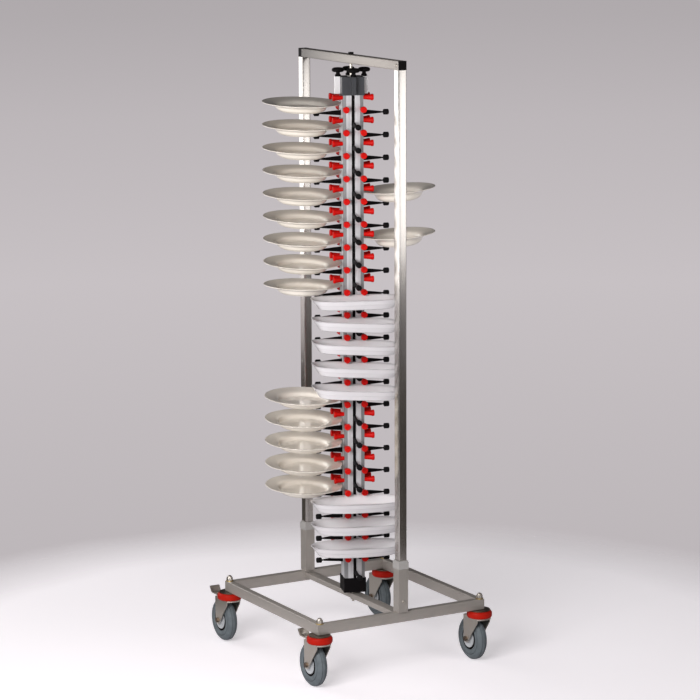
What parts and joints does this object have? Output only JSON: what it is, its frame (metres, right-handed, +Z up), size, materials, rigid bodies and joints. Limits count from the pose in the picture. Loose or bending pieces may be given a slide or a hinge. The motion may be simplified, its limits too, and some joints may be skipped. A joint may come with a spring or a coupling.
{
  "type": "plate rack trolley",
  "caption": "Wheeled stand with a turning square column of arms that hold plates and dishes one above another, inside a tall portal frame.",
  "frame": {"origin": "on the floor, under the middle of the whole trolley", "axes": "+Z up, X along the top bar, the two braked castors on the -Y side"},
  "size_m": [0.671, 0.592, 1.726],
  "materials": {
    "satin_steel": "satin",
    "bright_steel": "brushed",
    "zinc": "zinc plated",
    "white_plastic": "satin",
    "black_plastic": "satin",
    "black_rubber": "matt",
    "red_plastic": "satin",
    "hub_plastic": "satin",
    "grey_tyre": "matt",
    "post_aluminium": "anodised",
    "cream_porcelain": "glazed",
    "white_porcelain": "glazed"
  },
  "bodies": {
    "base": {"base_rail_left": "satin_steel", "base_rail_right": "satin_steel", "base_rail_front": "satin_steel", "base_rail_back": "satin_steel", "crossbeam": "satin_steel", "stubs": "satin_steel", "collars": "white_plastic", "upright_left": "bright_steel", "upright_right": "bright_steel", "top_bar": "satin_steel", "end_caps": "black_plastic", "frame_screws": "zinc", "castor_bolts": "zinc", "castor_nuts": "zinc", "castor_races": "zinc", "top_pivot_pin": "bright_steel", "bottom_pivot_bolt": "zinc", "thrust_washer": "zinc"},
    "rack": {"rack_posts": "post_aluminium", "arm_rails": "black_plastic", "top_block": "black_plastic", "bottom_block": "black_plastic", "top_bush": "white_plastic", "clamp_plates": "bright_steel", "arms_front": "black_plastic", "arms_right": "black_plastic", "arms_back": "black_plastic", "arms_left": "black_plastic", "arm_tips": "black_rubber", "bumpers_front_back": "red_plastic", "bumpers_sides": "red_plastic", "plates_left_upper": "cream_porcelain", "plates_left_lower": "cream_porcelain", "plates_right": "cream_porcelain", "dishes_upper": "white_porcelain", "dishes_lower": "white_porcelain"},
    "swivel_front_left": {"castor_fork_front_left": "zinc", "castor_guard_front_left": "red_plastic"},
    "wheel_front_left": {"wheel_hub_front_left": "hub_plastic", "wheel_tyre_front_left": "grey_tyre"},
    "swivel_front_right": {"castor_fork_front_right": "zinc", "castor_guard_front_right": "red_plastic"},
    "wheel_front_right": {"wheel_hub_front_right": "hub_plastic", "wheel_tyre_front_right": "grey_tyre"},
    "swivel_back_left": {"castor_fork_back_left": "zinc", "castor_guard_back_left": "red_plastic"},
    "wheel_back_left": {"wheel_hub_back_left": "hub_plastic", "wheel_tyre_back_left": "grey_tyre"},
    "swivel_back_right": {"castor_fork_back_right": "zinc", "castor_guard_back_right": "red_plastic"},
    "wheel_back_right": {"wheel_hub_back_right": "hub_plastic", "wheel_tyre_back_right": "grey_tyre"},
    "brake_front_left": {"brake_pedal_front_left": "zinc"},
    "brake_front_right": {"brake_pedal_front_right": "zinc"},
    "knob_front": {"knob_front": "black_plastic"},
    "knob_right": {"knob_right": "black_plastic"},
    "knob_back": {"knob_back": "black_plastic"},
    "knob_left": {"knob_left": "black_plastic"}
  },
  "joints": [
    {"name": "rack_turn", "type": "hinge", "parent": "base", "child": "rack", "pos_m": [0.03125, 0, 1.68], "axis": [0, 0, 1], "continuous": true},
    {"name": "swivel_front_left", "type": "hinge", "parent": "base", "child": "swivel_front_left", "pos_m": [-0.23625, -0.26, 0.14], "axis": [0, 0, 1], "continuous": true},
    {"name": "wheel_front_left", "type": "hinge", "parent": "swivel_front_left", "child": "wheel_front_left", "pos_m": [-0.27225, -0.26, 0.0625], "axis": [0, 1, 0], "continuous": true},
    {"name": "swivel_front_right", "type": "hinge", "parent": "base", "child": "swivel_front_right", "pos_m": [0.29875, -0.26, 0.14], "axis": [0, 0, 1], "continuous": true},
    {"name": "wheel_front_right", "type": "hinge", "parent": "swivel_front_right", "child": "wheel_front_right", "pos_m": [0.26275, -0.26, 0.0625], "axis": [0, 1, 0], "continuous": true},
    {"name": "swivel_back_left", "type": "hinge", "parent": "base", "child": "swivel_back_left", "pos_m": [-0.23625, 0.26, 0.14], "axis": [0, 0, 1], "continuous": true},
    {"name": "wheel_back_left", "type": "hinge", "parent": "swivel_back_left", "child": "wheel_back_left", "pos_m": [-0.27225, 0.26, 0.0625], "axis": [0, 1, 0], "continuous": true},
    {"name": "swivel_back_right", "type": "hinge", "parent": "base", "child": "swivel_back_right", "pos_m": [0.29875, 0.26, 0.14], "axis": [0, 0, 1], "continuous": true},
    {"name": "wheel_back_right", "type": "hinge", "parent": "swivel_back_right", "child": "wheel_back_right", "pos_m": [0.26275, 0.26, 0.0625], "axis": [0, 1, 0], "continuous": true},
    {"name": "brake_front_left", "type": "hinge", "parent": "swivel_front_left", "child": "brake_front_left", "pos_m": [-0.28225, -0.26, 0.139], "axis": [0, -1, 0], "range_deg": [0, 12]},
    {"name": "brake_front_right", "type": "hinge", "parent": "swivel_front_right", "child": "brake_front_right", "pos_m": [0.25275, -0.26, 0.139], "axis": [0, -1, 0], "range_deg": [0, 12]},
    {"name": "knob_front", "type": "hinge", "parent": "rack", "child": "knob_front", "pos_m": [0.06634, -0.01174, 1.659], "axis": [0, 0, 1], "continuous": true},
    {"name": "knob_right", "type": "hinge", "parent": "rack", "child": "knob_right", "pos_m": [0.04299, 0.03509, 1.659], "axis": [0, 0, 1], "continuous": true},
    {"name": "knob_back", "type": "hinge", "parent": "rack", "child": "knob_back", "pos_m": [-0.00384, 0.01174, 1.659], "axis": [0, 0, 1], "continuous": true},
    {"name": "knob_left", "type": "hinge", "parent": "rack", "child": "knob_left", "pos_m": [0.01951, -0.03509, 1.659], "axis": [0, 0, 1], "continuous": true}
  ]
}
